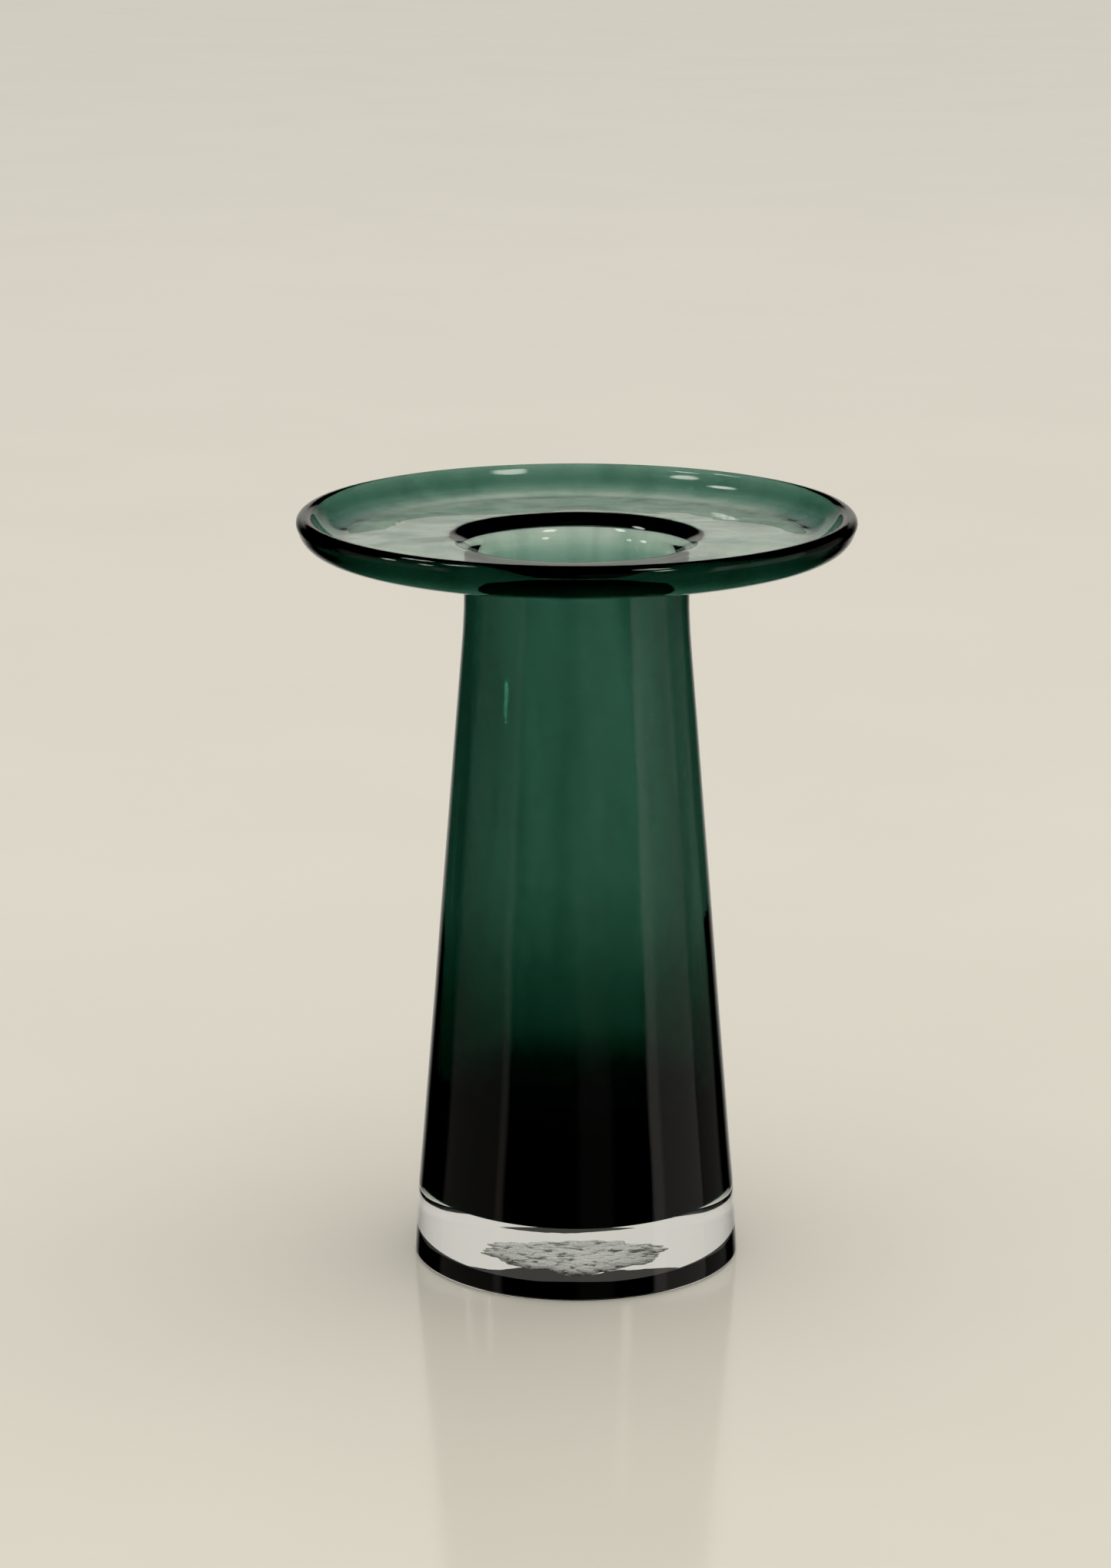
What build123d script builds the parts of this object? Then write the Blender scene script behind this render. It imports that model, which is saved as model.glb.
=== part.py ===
"""A hand blown cased glass vase: a tall tapered body that opens into a wide shallow dish.

The vase is four gathers of glass fused hot, each kept here as its own solid:

    colour_layer    the blown bubble of teal glass, open at the top and thick at the bottom
    clear_casing    the clear skin over the bubble, thin on the body and thick under the dish
    clear_foot      the heavy clear gather that carries the coloured bubble
    pontil_wad      what is left of the iron's own gather, ground flat under the foot

Every solid is turned about +Z. The origin is the centre of the standing ring, on the table.
Lengths are millimetres and angles are degrees.
"""

import os
from math import asin, atan2, copysign, cos, degrees, radians, sin, sqrt, tan

from build123d import *

# Overall sizes
total_height = 200.0
rim_radius = 72.3
neck_radius = 29.2
seam_radius = 41.9
foot_radius = 43.1

# Heights up the body
colour_bottom_height = 13.0
seam_height = 19.4
cavity_corner_height = 52.0
thickening_height = 95.0
cone_top_height = 175.3

# Thickness of the glass, and how deep the clear casing goes into it
wall = 3.4
wall_at_cavity_corner = 5.1
rim_bead = 4.4
casing_on_body = 1.0
casing_at_mouth = 2.0
casing_under_dish = 2.9
casing_at_lip = 1.6

# Body: the blend from cone to neck, the bell mouth on each surface, and the corner of the cavity
neck_blend_radius = 150.0
bell_radius = 2.0
casing_bell_radius = 6.5
lining_bell_radius = 8.2
cavity_corner_radius = 22.0
cavity_corner_sweep = 85.0

# Dish outside: a flat underside, a wide bend, a tight bend, a short straight side and a rounded lip
wide_bend_radius = 17.5
wide_bend_sweep = 25.0
tight_bend_radius = 7.0
tight_bend_sweep = 45.0
side_length = 1.5

# Dish inside: a flat floor and an easy corner up to a side that leans out more than the outside does
dish_corner_radius = 11.0
lining_angle = 57.0

# Foot: a rounded edge, a flat standing ring and a slightly hollow underside
foot_edge_radius = 0.6
standing_ring_width = 2.0
underside_rise = 1.3
flat_underside_radius = 30.0
pontil_radius = 17.0
pontil_thickness = 2.0

quarter_turn = 90.0

# The cone of the body, measured between the seam and the neck
cone_angle = degrees(atan2(seam_radius - neck_radius, cone_top_height - seam_height))
cone_sine = sin(radians(cone_angle))
cone_cosine = cos(radians(cone_angle))
cone_slope = tan(radians(cone_angle))

# The point outside the neck that the blend from cone to neck turns about
blend_centre_radius = neck_radius + neck_blend_radius
blend_centre_height = cone_top_height + neck_blend_radius * tan(radians(cone_angle / 2))

# The dish, worked out from the rim inwards and from the top downwards
side_angle = wide_bend_sweep + tight_bend_sweep
side_sine = sin(radians(side_angle))
side_cosine = cos(radians(side_angle))
bend_sine = sin(radians(wide_bend_sweep))
bend_cosine = cos(radians(wide_bend_sweep))
lip_radius = rim_bead / 2
dish_reach = (
    wide_bend_radius * bend_sine
    + tight_bend_radius * (side_sine - bend_sine)
    + side_length * side_cosine
    + lip_radius * (1 - side_sine)
)
dish_depth = (
    wide_bend_radius * (1 - bend_cosine)
    + tight_bend_radius * (bend_cosine - side_cosine)
    + side_length * side_sine
    + lip_radius * (1 + side_cosine)
)
floor_edge_radius = rim_radius - dish_reach
underside_height = total_height - dish_depth
lip_centre = (rim_radius - lip_radius, total_height - lip_radius)

# The casing runs on past the dish side until it meets the lip's round
casing_reach = sqrt(lip_radius**2 - (casing_at_lip - lip_radius) ** 2)
casing_lip_angle = side_angle + degrees(atan2(casing_at_lip - lip_radius, casing_reach))

# The corner where the coloured glass, the casing and the foot meet
seam_corner = (seam_radius - casing_on_body / cone_cosine, seam_height)
standing_ring_radius = foot_radius - foot_edge_radius
hollow_radius = standing_ring_radius - standing_ring_width


def cone_point(height, depth):
    """The point of the cone at a height, on the surface a depth inside the outer one."""
    outer = seam_radius - (height - seam_height) * cone_slope
    return (outer - depth / cone_cosine, height)


# The cavity's side leans out less than the cone does below the height where the wall starts to thicken
cavity_corner = cone_point(cavity_corner_height, wall_at_cavity_corner)
thin_wall_end = cone_point(thickening_height, wall)
cavity_heading = degrees(atan2(cavity_corner[1] - thin_wall_end[1], cavity_corner[0] - thin_wall_end[0]))


def cone_to_neck(bottom_height, depth):
    """Draws the cone from a height up and its blend into the neck, and returns the blend's end."""
    blend_radius = neck_blend_radius + depth
    blend_start = (
        blend_centre_radius - blend_radius * cone_cosine,
        blend_centre_height - blend_radius * cone_sine,
    )
    Line(cone_point(bottom_height, depth), blend_start)
    return JernArc(blend_start, (-cone_sine, cone_cosine), blend_radius, -cone_angle) @ 1


def flank_to_lip(body_depth, mouth_depth, bell, floor_depth, side_depth, reach):
    """Draws an outer surface from the seam, through neck and bell mouth, to the lip."""
    floor_height = underside_height + floor_depth
    shift = floor_depth - side_depth
    neck_top = (neck_radius - mouth_depth, floor_height - bell)
    Line(cone_to_neck(seam_height, body_depth), neck_top)
    mouth = JernArc(neck_top, (0, 1), bell, -quarter_turn)
    floor = Line(mouth @ 1, (floor_edge_radius + shift / side_sine, floor_height))
    wide = JernArc(floor @ 1, (1, 0), wide_bend_radius - floor_depth, wide_bend_sweep)
    tight = JernArc(wide @ 1, wide % 1, tight_bend_radius - floor_depth, tight_bend_sweep)
    side = side_length - shift * side_cosine / side_sine
    PolarLine(tight @ 1, side + reach, side_angle)


def outer_surface():
    """Draws the outside of the vase from the seam to the lip."""
    flank_to_lip(0, 0, bell_radius, 0, 0, 0)


def casing_surface():
    """Draws the face between the coloured glass and the clear casing."""
    flank_to_lip(
        casing_on_body, casing_at_mouth, casing_bell_radius, casing_under_dish, casing_at_lip, casing_reach
    )


def inner_surface():
    """Draws the inside of the vase from the cavity's corner to the lip."""
    floor_height = underside_height + wall
    neck_top = (neck_radius - wall, floor_height - lining_bell_radius)
    bead_end = (
        lip_centre[0] - lip_radius * sin(radians(lining_angle)),
        lip_centre[1] + lip_radius * cos(radians(lining_angle)),
    )
    fold = bead_end[0] - (bead_end[1] - floor_height) / tan(radians(lining_angle))
    floor_end = fold - dish_corner_radius * tan(radians(lining_angle / 2))
    Line(cavity_corner, thin_wall_end)
    Line(cone_to_neck(thickening_height, wall), neck_top)
    mouth = JernArc(neck_top, (0, 1), lining_bell_radius, -quarter_turn)
    floor = Line(mouth @ 1, (floor_end, floor_height))
    corner = JernArc(floor @ 1, (1, 0), dish_corner_radius, lining_angle)
    Line(corner @ 1, bead_end)


def cavity_bottom():
    """Draws the rounded bottom of the cavity and returns its height on the axis."""
    corner = JernArc(
        cavity_corner,
        (cos(radians(cavity_heading)), sin(radians(cavity_heading))),
        cavity_corner_radius,
        -cavity_corner_sweep,
    )
    turn_left = 2 * quarter_turn + cavity_heading - cavity_corner_sweep
    floor_radius = (corner @ 1).X / sin(radians(turn_left))
    floor = JernArc(corner @ 1, corner % 1, floor_radius, -turn_left)
    return (floor @ 1).Y


def cap(centre_height, edge_radius, rise):
    """Draws a shallow dome from the axis out to its edge, which lies a rise above its centre."""
    radius = (edge_radius**2 + rise**2) / (2 * abs(rise))
    sweep = copysign(degrees(asin(edge_radius / radius)), rise)
    JernArc((0, centre_height), (1, 0), radius, sweep)


def colour_bottom():
    """Draws the domed underside of the coloured glass, out to the seam."""
    cap(colour_bottom_height, seam_corner[0], seam_height - colour_bottom_height)


def pontil_top():
    """Draws the domed face that the pontil wad and the foot share."""
    cap(underside_rise + pontil_thickness, pontil_radius, -pontil_thickness)


def lip(from_angle, to_angle):
    """Draws the rounded lip between two directions from its centre."""
    CenterArc(lip_centre, lip_radius, from_angle, to_angle - from_angle)


# The blown bubble: cavity wall, bell mouth and dish lining, with a thick bottom
with BuildPart() as colour_layer:
    with BuildSketch(Plane.XZ):
        with BuildLine():
            colour_bottom()
            casing_surface()
            lip(casing_lip_angle, lining_angle + quarter_turn)
            inner_surface()
            cavity_floor_height = cavity_bottom()
            Line((0, cavity_floor_height), (0, colour_bottom_height))
        make_face()
    revolve(axis=Axis.Z)

# The clear skin outside the bubble, from the seam to the lip
with BuildPart() as clear_casing:
    with BuildSketch(Plane.XZ):
        with BuildLine():
            outer_surface()
            lip(side_angle - quarter_turn, casing_lip_angle)
            casing_surface()
            Line(seam_corner, (seam_radius, seam_height))
        make_face()
    revolve(axis=Axis.Z)

# The heavy clear gather under the bubble
with BuildPart() as clear_foot:
    with BuildSketch(Plane.XZ):
        with BuildLine():
            colour_bottom()
            Line(seam_corner, (seam_radius, seam_height))
            TangentArc(
                (seam_radius, seam_height),
                (foot_radius, foot_edge_radius),
                tangent=(cone_sine, -cone_cosine),
            )
            CenterArc((standing_ring_radius, foot_edge_radius), foot_edge_radius, 0, -quarter_turn)
            Line((standing_ring_radius, 0), (hollow_radius, 0))
            Line((hollow_radius, 0), (flat_underside_radius, underside_rise))
            Line((flat_underside_radius, underside_rise), (pontil_radius, underside_rise))
            pontil_top()
            Line((0, underside_rise + pontil_thickness), (0, colour_bottom_height))
        make_face()
    revolve(axis=Axis.Z)

# The ground remains of the gather that held the vase while its dish was opened
with BuildPart() as pontil_wad:
    with BuildSketch(Plane.XZ):
        with BuildLine():
            pontil_top()
            Line((0, underside_rise), (pontil_radius, underside_rise))
            Line((0, underside_rise), (0, underside_rise + pontil_thickness))
        make_face()
    revolve(axis=Axis.Z)

os.makedirs("parts", exist_ok=True)

colour_layer.part.label = "colour_layer"
export_step(colour_layer.part, "parts/colour_layer.step")

clear_casing.part.label = "clear_casing"
export_step(clear_casing.part, "parts/clear_casing.step")

clear_foot.part.label = "clear_foot"
export_step(clear_foot.part, "parts/clear_foot.step")

pontil_wad.part.label = "pontil_wad"
export_step(pontil_wad.part, "parts/pontil_wad.step")
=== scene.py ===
"""Looks of the hand blown cased glass vase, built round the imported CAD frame.

The four gathers of glass are fused, so light meets only one surface where they touch. The visual model
keeps that: one closed envelope of clear glass has the whole outside and the whole cavity. Two more closed
pieces are sunk just under its skin: the coloured gather, which takes colour out of the light but neither
bends nor mirrors it, and the ground face of the pontil wad. Lengths are metres, in the frame's axes.
"""

import math

import bpy
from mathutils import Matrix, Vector, noise


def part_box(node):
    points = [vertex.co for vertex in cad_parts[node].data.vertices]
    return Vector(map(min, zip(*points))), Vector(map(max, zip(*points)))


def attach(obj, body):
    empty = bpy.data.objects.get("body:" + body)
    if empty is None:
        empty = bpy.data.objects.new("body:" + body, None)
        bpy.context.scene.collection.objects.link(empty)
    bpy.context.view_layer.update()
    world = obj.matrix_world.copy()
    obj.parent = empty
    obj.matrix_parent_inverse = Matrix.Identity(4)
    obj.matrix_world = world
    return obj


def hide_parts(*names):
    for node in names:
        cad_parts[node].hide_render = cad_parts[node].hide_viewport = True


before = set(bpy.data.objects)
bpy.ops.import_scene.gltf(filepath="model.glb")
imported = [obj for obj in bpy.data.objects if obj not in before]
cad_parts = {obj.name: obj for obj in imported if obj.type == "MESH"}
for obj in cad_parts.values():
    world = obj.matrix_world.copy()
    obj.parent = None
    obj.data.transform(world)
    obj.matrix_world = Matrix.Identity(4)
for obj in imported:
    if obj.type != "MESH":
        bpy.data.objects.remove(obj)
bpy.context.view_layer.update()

MM = 0.001


# ---------------------------------------------------------------- sizes, from the frame and the glass

casing_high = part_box("clear_casing")[1]
foot_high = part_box("clear_foot")[1]
colour_low, colour_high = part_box("colour_layer")
wad_low, wad_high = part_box("pontil_wad")

TOTAL_HEIGHT = colour_high.z
RIM_RADIUS = casing_high.x
SEAM_HEIGHT = foot_high.z
FOOT_RADIUS = foot_high.x
COLOUR_BOTTOM = colour_low.z
WAD_RADIUS = wad_high.x
WAD_HEIGHT = wad_low.z

WALL = 3.4 * MM
WALL_AT_CORNER = 5.1 * MM
CASING_ON_BODY = 1.0 * MM
CASING_UNDER_DISH = 2.9 * MM
CASING_AT_LIP = 1.6 * MM
CASING_AT_BELL = 2.0 * MM
RIM_BEAD = 4.4 * MM
NECK_RADIUS = 29.2 * MM
SEAM_RADIUS = 41.9 * MM
CONE_TOP = 175.3 * MM
THICKENING = 95.0 * MM
CAVITY_CORNER = 52.0 * MM
NECK_BLEND = 150.0 * MM
BELL = 2.0 * MM
CASING_BELL = 6.5 * MM
INNER_BELL = 8.2 * MM
CORNER_BEND = 22.0 * MM
DISH_CORNER = 11.0 * MM
WIDE_BEND = 17.5 * MM
TIGHT_BEND = 7.0 * MM
SIDE_LENGTH = 1.5 * MM
FOOT_EDGE = 0.6 * MM
STANDING_RING = 2.0 * MM
FLAT_UNDERSIDE = 30.0 * MM
SKIN = 0.06 * MM
WAD_FACE = 0.25 * MM

CORNER_SWEEP = math.radians(85)
LINING_ANGLE = math.radians(57)
WIDE_SWEEP = math.radians(25)
TIGHT_SWEEP = math.radians(45)
QUARTER = math.pi / 2

CONE_ANGLE = math.atan2(SEAM_RADIUS - NECK_RADIUS, CONE_TOP - SEAM_HEIGHT)
SIDE_ANGLE = WIDE_SWEEP + TIGHT_SWEEP
LIP = RIM_BEAD / 2

# How finely the meshes follow their shapes
SEGMENTS = 288
STEP = 1.5 * MM
ARC_STEP = math.radians(5)
LIP_STEPS = 8
WAD_STEPS = 18

# How uneven the hand made surfaces are
CAVITY_WAVE = 0.45 * MM
CAVITY_RIPPLE = 0.16 * MM
DISH_WAVE = 0.12 * MM
BOTTOM_SAG = 4.0 * MM
OUTSIDE_LOSS = 0.30 * MM

# Where that unevenness sets in or fades out, as two heights or two radii
FOOT_TO_BODY = (12 * MM, 35 * MM)
CAVITY_BOTTOM = (48 * MM, 85 * MM)
OUTSIDE_NECK = (165 * MM, 185 * MM)
INSIDE_NECK = (160 * MM, 185 * MM)
DISH_BOTTOM = (190 * MM, 193 * MM)
DISH_SIDE = (50 * MM, 62 * MM)
OFF_AXIS = (0, 25 * MM)


# ---------------------------------------------------------------- outlines, as radius and height

class Outline:
    """A pen that draws a half outline of straight runs and tangent arcs, as (radius, height) points."""

    def __init__(self, radius, height, heading):
        self.points = [(radius, height)]
        self.heading = heading

    def straight(self, length):
        """Draws straight on, in short steps."""
        count = max(1, round(length / STEP))
        radius, height = self.points[-1]
        for i in range(1, count + 1):
            run = length * i / count
            self.points.append((radius + run * math.cos(self.heading), height + run * math.sin(self.heading)))
        return self

    def straight_to(self, radius=None, height=None):
        """Draws straight on until it reaches a radius or a height."""
        r, z = self.points[-1]
        if radius is not None:
            return self.straight((radius - r) / math.cos(self.heading))
        return self.straight((height - z) / math.sin(self.heading))

    def bend(self, radius, sweep):
        """Turns by sweep along an arc: to the left when sweep is positive, to the right when negative."""
        side = math.copysign(1, sweep)
        r, z = self.points[-1]
        centre_r = r - side * radius * math.sin(self.heading)
        centre_z = z + side * radius * math.cos(self.heading)
        count = max(2, math.ceil(abs(sweep) / ARC_STEP))
        for i in range(1, count + 1):
            heading = self.heading + sweep * i / count
            self.points.append((
                centre_r + side * radius * math.sin(heading),
                centre_z - side * radius * math.cos(heading),
            ))
        self.heading += sweep
        return self


def cone_radius(height, depth):
    """The radius of the cone at a height, on the surface that lies a depth inside the outer one."""
    return SEAM_RADIUS - (height - SEAM_HEIGHT) * math.tan(CONE_ANGLE) - depth / math.cos(CONE_ANGLE)


def cavity_heading():
    """The direction of the cavity's side where the wall gets thicker downwards."""
    slack = cone_radius(THICKENING, WALL) - cone_radius(CAVITY_CORNER, WALL_AT_CORNER)
    return math.atan2(THICKENING - CAVITY_CORNER, slack)


def dish_floor(depth):
    """The height of the dish floor on the surface a depth above its underside."""
    drop = (
        WIDE_BEND * (1 - math.cos(WIDE_SWEEP))
        + TIGHT_BEND * (math.cos(WIDE_SWEEP) - math.cos(SIDE_ANGLE))
        + SIDE_LENGTH * math.sin(SIDE_ANGLE)
        + LIP * (1 + math.cos(SIDE_ANGLE))
    )
    return TOTAL_HEIGHT - drop + depth


def floor_edge():
    """The radius where the flat dish floor starts to bend up."""
    reach = (
        WIDE_BEND * math.sin(WIDE_SWEEP)
        + TIGHT_BEND * (math.sin(SIDE_ANGLE) - math.sin(WIDE_SWEEP))
        + SIDE_LENGTH * math.cos(SIDE_ANGLE)
        + LIP * (1 - math.sin(SIDE_ANGLE))
    )
    return RIM_RADIUS - reach


def neck(pen, depth):
    """Draws on up the straight cone and into the neck, on the surface a depth inside the outer one."""
    blend_centre = CONE_TOP + NECK_BLEND * math.tan(CONE_ANGLE / 2)
    pen.heading = QUARTER + CONE_ANGLE
    pen.straight_to(height=blend_centre - (NECK_BLEND + depth) * math.sin(CONE_ANGLE))
    return pen.bend(NECK_BLEND + depth, -CONE_ANGLE)


def flank(body_depth, neck_depth, bell, floor_depth, side_depth):
    """An outer surface from the seam up to the rim bead, at its depths inside the skin of the vase."""
    pen = neck(Outline(cone_radius(SEAM_HEIGHT, body_depth), SEAM_HEIGHT, 0), body_depth)
    low = pen.points[-1][1]
    high = dish_floor(floor_depth) - bell
    pen.heading = math.atan2(high - low, body_depth - neck_depth)
    pen.straight_to(height=high)
    pen.heading = QUARTER
    pen.bend(bell, -QUARTER)
    pen.straight_to(radius=floor_edge() + (floor_depth - side_depth) / math.sin(SIDE_ANGLE))
    pen.bend(WIDE_BEND - floor_depth, WIDE_SWEEP)
    pen.bend(TIGHT_BEND - floor_depth, TIGHT_SWEEP)
    return pen.straight(SIDE_LENGTH - (floor_depth - side_depth) / math.tan(SIDE_ANGLE))


def lining(skin):
    """The cavity's side, the mouth and the dish lining up to the rim bead, some depth under their skin."""
    pen = Outline(cone_radius(CAVITY_CORNER, WALL_AT_CORNER - skin), CAVITY_CORNER, cavity_heading())
    pen.straight_to(height=THICKENING)
    neck(pen, WALL - skin)
    pen.straight_to(height=dish_floor(WALL) - INNER_BELL)
    pen.bend(INNER_BELL - skin, -QUARTER)
    bead_r = RIM_RADIUS - LIP - (LIP - skin) * math.sin(LINING_ANGLE)
    bead_z = TOTAL_HEIGHT - LIP + (LIP - skin) * math.cos(LINING_ANGLE)
    fold_r = bead_r - (bead_z - pen.points[-1][1]) / math.tan(LINING_ANGLE)
    pen.straight_to(radius=fold_r - (DISH_CORNER + skin) * math.tan(LINING_ANGLE / 2))
    pen.bend(DISH_CORNER + skin, LINING_ANGLE)
    return pen.straight_to(height=bead_z)


def cavity_bottom(skin):
    """The cavity's rounded bottom, from its side in to the axis, some depth under its skin."""
    heading = cavity_heading() - math.pi
    turn_left = math.pi + heading - CORNER_SWEEP
    pen = Outline(cone_radius(CAVITY_CORNER, WALL_AT_CORNER - skin), CAVITY_CORNER, heading)
    pen.bend(CORNER_BEND + skin, -CORNER_SWEEP)
    return pen.bend(pen.points[-1][0] / math.sin(turn_left), -turn_left)


def inside(skin):
    """The points of the whole inside, from the rim bead down to the axis, some depth under its skin."""
    return lining(skin).points[::-1] + cavity_bottom(skin).points[1:]


def weighted(outer, inner):
    """One list of points, and a list that says which lie outside, as 0, and which inside, as 1."""
    return outer + inner, [0] * len(outer) + [1] * len(inner)


def envelope_outline():
    """The whole skin of the vase: underside, foot, body, dish, lip, dish lining and cavity."""
    ring = FOOT_RADIUS - FOOT_EDGE
    hollow = ring - STANDING_RING
    under = Outline(0, WAD_HEIGHT, 0).straight_to(radius=FLAT_UNDERSIDE)
    under.heading = math.atan2(-WAD_HEIGHT, hollow - FLAT_UNDERSIDE)
    under.straight_to(radius=hollow)
    under.heading = 0
    under.straight_to(radius=ring)
    under.bend(FOOT_EDGE, QUARTER)
    side = Outline(FOOT_RADIUS, FOOT_EDGE, math.atan2(SEAM_HEIGHT - FOOT_EDGE, SEAM_RADIUS - FOOT_RADIUS))
    side.straight_to(height=SEAM_HEIGHT)
    outer = flank(0, 0, BELL, 0, 0)
    outer.bend(LIP, math.pi - SIDE_ANGLE + LINING_ANGLE)
    return weighted(under.points + side.points[1:] + outer.points[1:], inside(0)[1:])


def colour_outline():
    """The coloured gather, a hair's breadth under the cavity's skin and inside the casing."""
    outer = flank(CASING_ON_BODY, CASING_AT_BELL, CASING_BELL, CASING_UNDER_DISH, CASING_AT_LIP).points
    centre_r, centre_z = RIM_RADIUS - LIP, TOTAL_HEIGHT - LIP
    casing_reach = math.sqrt(LIP**2 - (CASING_AT_LIP - LIP) ** 2)
    start = SIDE_ANGLE + math.atan2(CASING_AT_LIP - LIP, casing_reach)
    for i in range(LIP_STEPS + 1):
        angle = start + (LINING_ANGLE + QUARTER - start) * i / LIP_STEPS
        outer.append((centre_r + (LIP - SKIN) * math.cos(angle), centre_z + (LIP - SKIN) * math.sin(angle)))
    corner_r, corner_z = outer[0]
    rise = corner_z - COLOUR_BOTTOM
    cap_radius = (corner_r**2 + rise**2) / (2 * rise)
    bottom = Outline(0, COLOUR_BOTTOM, 0).bend(cap_radius, math.asin(corner_r / cap_radius))
    return weighted(bottom.points + outer[1:], inside(SKIN)[1:])


def wad_outline():
    """The ground face of the pontil wad: all that shows of it, as the rest is fused into the foot."""
    low = WAD_HEIGHT + SKIN
    edge = WAD_RADIUS - SKIN
    pen = Outline(0, low, 0).straight_to(radius=edge)
    for i in range(1, WAD_STEPS + 1):
        rounding = math.sin(QUARTER * min(1, 6 * i / WAD_STEPS))
        pen.points.append((edge * (1 - i / WAD_STEPS), low + WAD_FACE * rounding))
    return weighted(pen.points, [])


# ---------------------------------------------------------------- meshes

def link(name, data):
    """A new object in the scene."""
    item = bpy.data.objects.new(name, data)
    bpy.context.scene.collection.objects.link(item)
    return item


def spin(name, points, weights, shape):
    """Turns an outline that starts and ends on the axis into a closed mesh, whose points shape() moves."""
    rings = list(zip(points, weights))[1:-1]
    vertices = [
        shape(radius, height, 2 * math.pi * k / SEGMENTS, weight)
        for (radius, height), weight in rings
        for k in range(SEGMENTS)
    ]
    bottom = len(vertices)
    top = bottom + 1
    vertices.append(shape(0, points[0][1], 0, weights[0]))
    vertices.append(shape(0, points[-1][1], 0, weights[-1]))
    faces = []
    for ring in range(len(rings) - 1):
        a, b = ring * SEGMENTS, (ring + 1) * SEGMENTS
        for k in range(SEGMENTS):
            n = (k + 1) % SEGMENTS
            faces.append((a + k, a + n, b + n, b + k))
    last = (len(rings) - 1) * SEGMENTS
    for k in range(SEGMENTS):
        n = (k + 1) % SEGMENTS
        faces.append((bottom, n, k))
        faces.append((top, last + k, last + n))
    mesh = bpy.data.meshes.new(name)
    mesh.from_pydata(vertices, [], faces)
    mesh.validate()
    mesh.shade_smooth()
    return link(name, mesh)


def step(value, start, end):
    """A smooth step from 0 at start to 1 at end."""
    t = min(1.0, max(0.0, (value - start) / (end - start)))
    return t * t * (3 - 2 * t)


def ripple(angle, height=0, around=1.0, along=0, seed=0):
    """Smooth noise from -1 to 1 that closes round the vase, finer with around and along."""
    return noise.noise(Vector((around * math.cos(angle), around * math.sin(angle), along * height + seed)))


def hand_made(radius, height, angle, weight):
    """Moves a point of a true turned surface to where a hand made one has it: the outside only inwards."""
    if weight:
        waves = CAVITY_WAVE * ripple(angle, height, around=1.5, along=9, seed=3)
        waves += CAVITY_RIPPLE * ripple(angle, height, around=4.5, along=16, seed=11)
        radius *= 1 + waves * (1 - step(height, *INSIDE_NECK)) / NECK_RADIUS
        floor = step(height, *DISH_BOTTOM) * (1 - step(radius, *DISH_SIDE))
        height += DISH_WAVE * floor * ripple(angle, around=2.2, seed=7)
        sag = (1 - step(height, *CAVITY_BOTTOM)) * step(radius, *OFF_AXIS)
        height += BOTTOM_SAG * sag * ripple(angle, around=1.3, seed=41)
    else:
        waves = 0.5 + 0.35 * ripple(angle, height, around=1.4, along=13, seed=23)
        waves += 0.15 * ripple(angle, height, around=4.0, along=28, seed=31)
        body = step(height, *FOOT_TO_BODY) * (1 - step(height, *OUTSIDE_NECK))
        radius -= OUTSIDE_LOSS * body * waves
    return radius * math.cos(angle), radius * math.sin(angle), height


def ground_edge(radius, height, angle, weight):
    """Gives the ground patch an uneven edge, with a tongue where the iron was knocked off."""
    front = math.remainder(angle + QUARTER, 2 * math.pi)
    tongue = math.exp(-((front - 0.02) / 0.30) ** 2)
    spread = 0.92 + 0.15 * ripple(angle, around=2.5, seed=5) + 0.07 * ripple(angle, around=9, seed=17)
    radius *= spread + 0.34 * tongue
    return radius * math.cos(angle), radius * math.sin(angle), height


# ---------------------------------------------------------------- node helpers

def connect(tree, value, socket):
    """Gives a socket its value: a number, or another node's socket."""
    if isinstance(value, (int, float)):
        socket.default_value = value
    else:
        tree.links.new(value, socket)


def calculate(tree, operation, *values):
    """A Math node on numbers or sockets."""
    node = tree.nodes.new("ShaderNodeMath")
    node.operation = operation
    for socket, value in zip(node.inputs, values):
        connect(tree, value, socket)
    return node.outputs[0]


def times(tree, a, b):
    """The product of two numbers or sockets."""
    return calculate(tree, "MULTIPLY", a, b)


def total(tree, *values):
    """The sum of several sockets."""
    result = values[0]
    for value in values[1:]:
        result = calculate(tree, "ADD", result, value)
    return result


def ramp(tree, value, start, end):
    """A smooth step of a socket from 0 at start to 1 at end, which may be the lower of the two."""
    node = tree.nodes.new("ShaderNodeMapRange")
    node.interpolation_type = "SMOOTHSTEP"
    connect(tree, value, node.inputs["Value"])
    connect(tree, min(start, end), node.inputs["From Min"])
    connect(tree, max(start, end), node.inputs["From Max"])
    if start > end:
        connect(tree, 1.0, node.inputs["To Min"])
        connect(tree, 0.0, node.inputs["To Max"])
    return node.outputs["Result"]


def choose(tree, factor, plain, other):
    """One value where the factor is 0 and the other where it is 1."""
    node = tree.nodes.new("ShaderNodeMix")
    connect(tree, factor, node.inputs["Factor"])
    connect(tree, plain, node.inputs["A"])
    connect(tree, other, node.inputs["B"])
    return node.outputs["Result"]


def split(tree, vector):
    """The three parts of a vector socket."""
    node = tree.nodes.new("ShaderNodeSeparateXYZ")
    connect(tree, vector, node.inputs[0])
    return node.outputs["X"], node.outputs["Y"], node.outputs["Z"]


def place(tree, *scale):
    """The point on the piece in metres, times a scale along each axis."""
    coordinates = tree.nodes.new("ShaderNodeTexCoord").outputs["Object"]
    if not scale:
        return coordinates
    mapping = tree.nodes.new("ShaderNodeMapping")
    mapping.inputs["Scale"].default_value = scale
    connect(tree, coordinates, mapping.inputs["Vector"])
    return mapping.outputs["Vector"]


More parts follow.
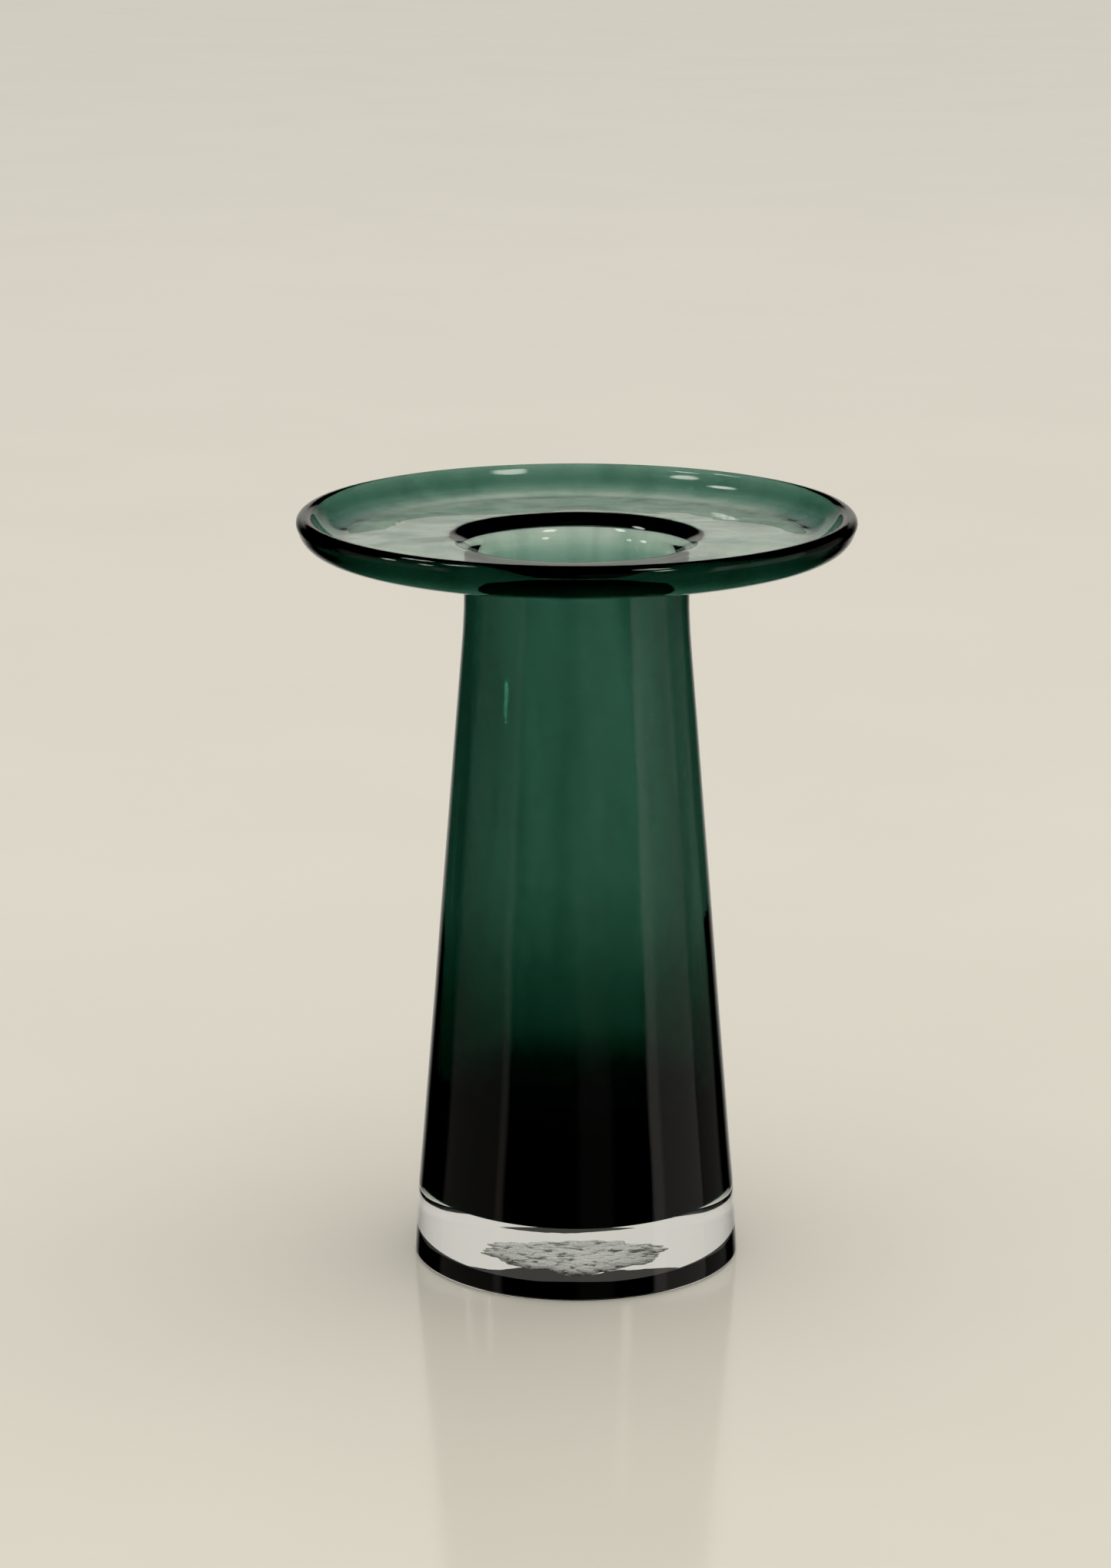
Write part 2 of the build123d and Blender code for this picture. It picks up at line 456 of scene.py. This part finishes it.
def clouds(tree, where, scale, detail=2.0, distortion=0.0):
    """Noise from about 0 to 1."""
    node = tree.nodes.new("ShaderNodeTexNoise")
    connect(tree, scale, node.inputs["Scale"])
    connect(tree, detail, node.inputs["Detail"])
    connect(tree, distortion, node.inputs["Distortion"])
    connect(tree, where, node.inputs["Vector"])
    return node.outputs["Fac"]


def tint(tree, value, *stops):
    """A colour ramp over a socket, from (position, red, green, blue) stops."""
    node = tree.nodes.new("ShaderNodeValToRGB")
    elements = node.color_ramp.elements
    while len(elements) < len(stops):
        elements.new(0.5)
    for element, (position, *rgb) in zip(elements, stops):
        element.position = position
        element.color = (*rgb, 1)
    connect(tree, value, node.inputs["Fac"])
    return node.outputs["Color"]


def bump(tree, shader, height, strength, distance):
    """Makes the surface look as if a socket raised it."""
    node = tree.nodes.new("ShaderNodeBump")
    connect(tree, strength, node.inputs["Strength"])
    connect(tree, distance, node.inputs["Distance"])
    connect(tree, height, node.inputs["Height"])
    connect(tree, node.outputs["Normal"], shader.inputs["Normal"])


# ---------------------------------------------------------------- materials

def new_material(name):
    """A new material, its node tree and its Principled shader."""
    material = bpy.data.materials.new(name)
    material.use_nodes = True
    return material, material.node_tree, material.node_tree.nodes["Principled BSDF"]


def clear_glass():
    """Fire polished clear glass with slow chill waves, and a standing ring scuffed by use."""
    material, tree, shader = new_material("clear_glass")
    shader.inputs["IOR"].default_value = 1.5
    shader.inputs["Transmission Weight"].default_value = 1.0
    where = place(tree)
    height = split(tree, where)[2]
    cords = clouds(tree, place(tree, 1, 1, 0.25), 55, distortion=0.6)
    colour = tint(tree, cords, (0.30, 0.955, 0.975, 0.965), (0.65, 1, 1, 1))
    connect(tree, colour, shader.inputs["Base Color"])
    scuffs = ramp(tree, clouds(tree, where, 900, detail=4.0), 0.50, 0.75)
    on_ring = ramp(tree, height, 0.4 * MM, 0.1 * MM)
    smears = ramp(tree, clouds(tree, where, 38, detail=3.0, distortion=0.4), 0.55, 0.85)
    rough = calculate(tree, "MULTIPLY_ADD", times(tree, scuffs, on_ring), 0.06, times(tree, smears, 0.003))
    connect(tree, rough, shader.inputs["Roughness"])
    slow = clouds(tree, place(tree, 1, 1, 0.45), 42, detail=1.0)
    waves = calculate(tree, "MULTIPLY_ADD", cords, 0.35, slow)
    above_foot = calculate(tree, "MULTIPLY_ADD", ramp(tree, height, 4 * MM, 20 * MM), 0.94, 0.06)
    bump(tree, shader, times(tree, waves, above_foot), strength=0.35, distance=0.6 * MM)
    return material


def teal_glass():
    """Teal glass whose colour lies in drawn-out streaks, clear enough to see through where it is thin."""
    material, tree, shader = new_material("teal_glass")
    shader.inputs["IOR"].default_value = 1.0
    shader.inputs["Specular IOR Level"].default_value = 0.0
    shader.inputs["Transmission Weight"].default_value = 1.0
    streaks = clouds(tree, place(tree, 1, 1, 0.06), 95, distortion=0.2)
    colour = tint(tree, streaks, (0.30, 0.66, 0.77, 0.74), (0.50, 0.89, 0.94, 0.925), (0.70, 1, 1, 1))
    connect(tree, colour, shader.inputs["Base Color"])
    rough = times(tree, ramp(tree, clouds(tree, place(tree), 24), 0.5, 0.9), 0.01)
    connect(tree, rough, shader.inputs["Roughness"])
    bump(tree, shader, streaks, strength=0.1, distance=0.2 * MM)
    absorption = tree.nodes.new("ShaderNodeVolumeAbsorption")
    absorption.inputs["Color"].default_value = (0.34, 0.59, 0.53, 1)
    absorption.inputs["Density"].default_value = 1090.0
    connect(tree, absorption.outputs["Volume"], tree.nodes["Material Output"].inputs["Volume"])
    return material


def ground_glass():
    """The ground pontil: pitted glass that throws most of the light back, with painted shade in the pits."""
    material, tree, shader = new_material("ground_glass")
    shader.inputs["Metallic"].default_value = 0.45
    where = place(tree)
    pits = clouds(tree, where, 430, detail=2.5, distortion=0.7)
    # Painted shade: the colour goes near black at the bottoms of the pits, where the bump is lowest.
    colour = tint(
        tree,
        pits,
        (0.36, 0.05, 0.06, 0.05),
        (0.43, 0.60, 0.64, 0.61),
        (0.50, 0.93, 0.97, 0.94),
        (0.80, 1, 1, 1),
    )
    connect(tree, colour, shader.inputs["Base Color"])
    rough = calculate(tree, "MULTIPLY_ADD", clouds(tree, where, 1400), 0.35, 0.08)
    connect(tree, rough, shader.inputs["Roughness"])
    bump(tree, shader, pits, strength=0.5, distance=0.4 * MM)
    return material


def floor_material():
    """A plain pale table top with a soft gloss."""
    material, tree, shader = new_material("pale_floor")
    where = place(tree)
    grain = clouds(tree, where, 7, detail=4.0)
    colour = tint(tree, grain, (0.25, 0.71, 0.69, 0.63), (0.75, 0.74, 0.72, 0.66))
    connect(tree, colour, shader.inputs["Base Color"])
    connect(tree, calculate(tree, "MULTIPLY_ADD", grain, 0.06, 0.09), shader.inputs["Roughness"])
    bump(tree, shader, clouds(tree, where, 260), strength=0.04, distance=0.5 * MM)
    return material


# ---------------------------------------------------------------- pieces

def dress(piece, material, slot, *nodes):
    """Gives a piece its material and its body, and hides the CAD nodes that it stands for. The slot is not
    used.
    """
    piece.data.materials.append(material)
    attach(piece, "root")
    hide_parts(*nodes)


envelope = spin("glass_envelope", *envelope_outline(), hand_made)
colour = spin("colour_gather", *colour_outline(), hand_made)
wad = spin("ground_pontil", *wad_outline(), ground_edge)
dress(envelope, clear_glass(), "clear_glass", "clear_casing", "clear_foot")
dress(colour, teal_glass(), "teal_glass", "colour_layer")
dress(wad, ground_glass(), "ground_glass", "pontil_wad")


# ---------------------------------------------------------------- floor, light and camera

# A bearing is an angle round the vase in degrees: 0 towards -Y, where the camera stands, and 90 towards +X
PALE_LIGHT = (1.0, 0.965, 0.88, 1)
WARM_LIGHT = (1.0, 0.97, 0.9)

# What the glass mirrors. Upright bands: where each starts and ends, how soft its sides are, how bright it is
MIRRORED_BANDS = (
    (2, 27, 3, 0.04),
    (-60, -54, 2.5, 0.22),
    (57, 67, 2, 0.48),
    (67, 105, 2, 0.28),
    (105, 135, 4, 0.09),
    (-112, -60, 3, 0.09),
)
BACK_BRIGHTNESS = 0.5

# Small round lights: the bearing, elevation and size of each
MIRRORED_LIGHTS = ((38, 28, 5), (-66, 24, 4), (-85, 22, 5), (42, 55, 7), (-70, 55, 6), (-112, 55, 5))
LIGHT_BRIGHTNESS = 9.0

# What the other rays find: through the glass above and below the horizon, and off and behind the table
SEEN_ABOVE, SEEN_BELOW = 0.05, 0.60
TABLE_MIRRORS = 0.58
TABLE_RECEIVES = 0.90
BACKDROP = 0.63


def pale_floor():
    """The table top, which the glass doesn't mirror: it mirrors the world's bands there."""
    half = 6.0
    corners = [(-half, -half, 0), (half, -half, 0), (half, half, 0), (-half, half, 0)]
    mesh = bpy.data.meshes.new("floor")
    mesh.from_pydata(corners, [], [(0, 1, 2, 3)])
    mesh.materials.append(floor_material())
    floor = link("floor", mesh)
    floor.visible_glossy = False


def glowing_card(name, vertices, faces, strength):
    """A card of pale light that is seen only through the glass, and lights nothing else."""
    mesh = bpy.data.meshes.new(name)
    mesh.from_pydata(vertices, [], faces)
    material, tree, shader = new_material(name)
    shader.inputs["Base Color"].default_value = (0, 0, 0, 1)
    shader.inputs["Specular IOR Level"].default_value = 0.0
    shader.inputs["Emission Color"].default_value = PALE_LIGHT
    shader.inputs["Emission Strength"].default_value = strength
    material.cycles.emission_sampling = "NONE"
    mesh.materials.append(material)
    card = link(name, mesh)
    card.visible_camera = False
    card.visible_glossy = False
    card.visible_diffuse = False
    card.visible_shadow = False


def pale_card(radius, height, opening, strength):
    """A curved card round the sides and the back, up to a bearing each side of the camera."""
    count = 60
    vertices = []
    for i in range(count + 1):
        bearing = math.radians(opening + (360 - 2 * opening) * i / count)
        x, y = radius * math.sin(bearing), -radius * math.cos(bearing)
        vertices += [(x, y, MM), (x, y, height)]
    faces = [(2 * i, 2 * i + 2, 2 * i + 3, 2 * i + 1) for i in range(count)]
    glowing_card("card", vertices, faces, strength)


def window_card(bearing, distance, width, low, high, strength):
    """A small upright card that stands off to one side and makes one highlight."""
    angle = math.radians(bearing)
    centre = Vector((math.sin(angle), -math.cos(angle), 0)) * distance
    side = Vector((math.cos(angle), math.sin(angle), 0)) * (width / 2)
    corners = ((-side, low), (side, low), (side, high), (-side, high))
    vertices = [tuple(centre + edge + Vector((0, 0, z))) for edge, z in corners]
    glowing_card("window", vertices, [(0, 1, 2, 3)], strength)


def blob(tree, direction, bearing, elevation, size):
    """A soft round light in the world, 1 in its middle."""
    angle, tilt = math.radians(bearing), math.radians(elevation)
    node = tree.nodes.new("ShaderNodeVectorMath")
    node.operation = "DOT_PRODUCT"
    connect(tree, direction, node.inputs[0])
    node.inputs[1].default_value = (
        math.sin(angle) * math.cos(tilt),
        -math.cos(angle) * math.cos(tilt),
        math.sin(tilt),
    )
    return ramp(tree, node.outputs["Value"], math.cos(math.radians(size)), math.cos(math.radians(size * 0.4)))


def band(tree, bearing, start, end, soft):
    """1 between two bearings in degrees, with soft sides."""
    return times(
        tree,
        ramp(tree, bearing, math.radians(start - soft), math.radians(start + soft)),
        ramp(tree, bearing, math.radians(end + soft), math.radians(end - soft)),
    )


def elevation_step(tree, height, start, end):
    """A smooth step from 0 at one elevation in degrees to 1 at another, which may be the lower."""
    return ramp(tree, height, math.sin(math.radians(start)), math.sin(math.radians(end)))


def mirrored_world(tree, direction):
    """What the glass mirrors: bands low down, black above and far below them, and small round lights."""
    x, y, z = split(tree, direction)
    bearing = calculate(tree, "ARCTAN2", x, times(tree, y, -1.0))
    bands = [times(tree, band(tree, bearing, *sides), strength) for *sides, strength in MIRRORED_BANDS]
    behind = ramp(tree, calculate(tree, "ABSOLUTE", bearing), math.radians(150), math.radians(170))
    low_down = total(tree, *bands, times(tree, behind, BACK_BRIGHTNESS))
    low_down = times(tree, low_down, elevation_step(tree, z, 16, 12))
    low_down = times(tree, low_down, elevation_step(tree, z, -32, -22))
    lights = [times(tree, blob(tree, direction, *light), LIGHT_BRIGHTNESS) for light in MIRRORED_LIGHTS]
    return total(tree, low_down, *lights)


def studio_world():
    """A separate surround for each kind of ray: mirrored by glass or table, seen, diffuse and direct."""
    world = bpy.data.worlds.new("studio")
    bpy.context.scene.world = world
    world.use_nodes = True
    tree = world.node_tree
    direction = tree.nodes.new("ShaderNodeTexCoord").outputs["Generated"]
    low_down = elevation_step(tree, split(tree, direction)[2], 1, -2)
    seen = calculate(tree, "MULTIPLY_ADD", low_down, SEEN_BELOW - SEEN_ABOVE, SEEN_ABOVE)
    path = tree.nodes.new("ShaderNodeLightPath")
    # A refracted ray counts as glossy too
    refracted = path.outputs["Is Transmission Ray"]
    reflected = calculate(tree, "SUBTRACT", path.outputs["Is Glossy Ray"], refracted)
    # Only the table is rough enough for its mirrored rays not to count as singular
    around = choose(tree, path.outputs["Is Singular Ray"], TABLE_MIRRORS, mirrored_world(tree, direction))
    strength = choose(tree, reflected, seen, around)
    strength = choose(tree, path.outputs["Is Diffuse Ray"], strength, TABLE_RECEIVES)
    strength = choose(tree, path.outputs["Is Camera Ray"], strength, BACKDROP)
    background = tree.nodes["Background"]
    background.inputs["Color"].default_value = PALE_LIGHT
    connect(tree, strength, background.inputs["Strength"])
    # Light sampling would ignore the kinds of ray
    world.cycles.sampling_method = "NONE"


def soft_light(name, position, size, power, aim):
    """A soft square lamp that can't itself be seen, mirrored or looked at through the glass."""
    data = bpy.data.lights.new(name, "AREA")
    data.shape = "SQUARE"
    data.size = size
    data.energy = power
    data.color = WARM_LIGHT
    lamp = link(name, data)
    lamp.location = position
    lamp.rotation_euler = (Vector(aim) - Vector(position)).to_track_quat("-Z", "Y").to_euler()
    lamp.visible_camera = False
    lamp.visible_glossy = False
    lamp.visible_transmission = False


def camera(position, down, turn, lens):
    """A camera with its tilt down and its turn to the left in degrees."""
    data = bpy.data.cameras.new("camera")
    data.sensor_width = 36.0
    data.lens = lens
    data.clip_start = 0.01
    data.clip_end = 50.0
    viewer = link("camera", data)
    viewer.location = position
    viewer.rotation_euler = (math.radians(90 - down), 0, math.radians(turn))
    bpy.context.scene.camera = viewer


def light_paths(through, off):
    """Lets light pass through, and mirror off, enough surfaces for glass inside glass."""
    scene = bpy.context.scene
    scene.cycles.max_bounces = through
    scene.cycles.transmission_bounces = through
    scene.cycles.glossy_bounces = off
    scene.cycles.transparent_max_bounces = off
    scene.cycles.use_denoising = True
    scene.view_settings.view_transform = "Standard"


pale_floor()
pale_card(radius=1.8, height=0.648, opening=75, strength=0.66)
window_card(bearing=-78, distance=1.0, width=0.09, low=0.057, high=0.069, strength=30)
studio_world()
soft_light("overhead", position=(1.5, 0.5, 5.0), size=5.0, power=60, aim=(0, 0, 0.1))
soft_light("foot", position=(0, 0, 11.5 * MM), size=34 * MM, power=0.003, aim=(0, 0, 0))
camera(position=(0, -1.1386, 0.4172), down=14.27, turn=0.2755, lens=103.1)
light_paths(through=40, off=16)
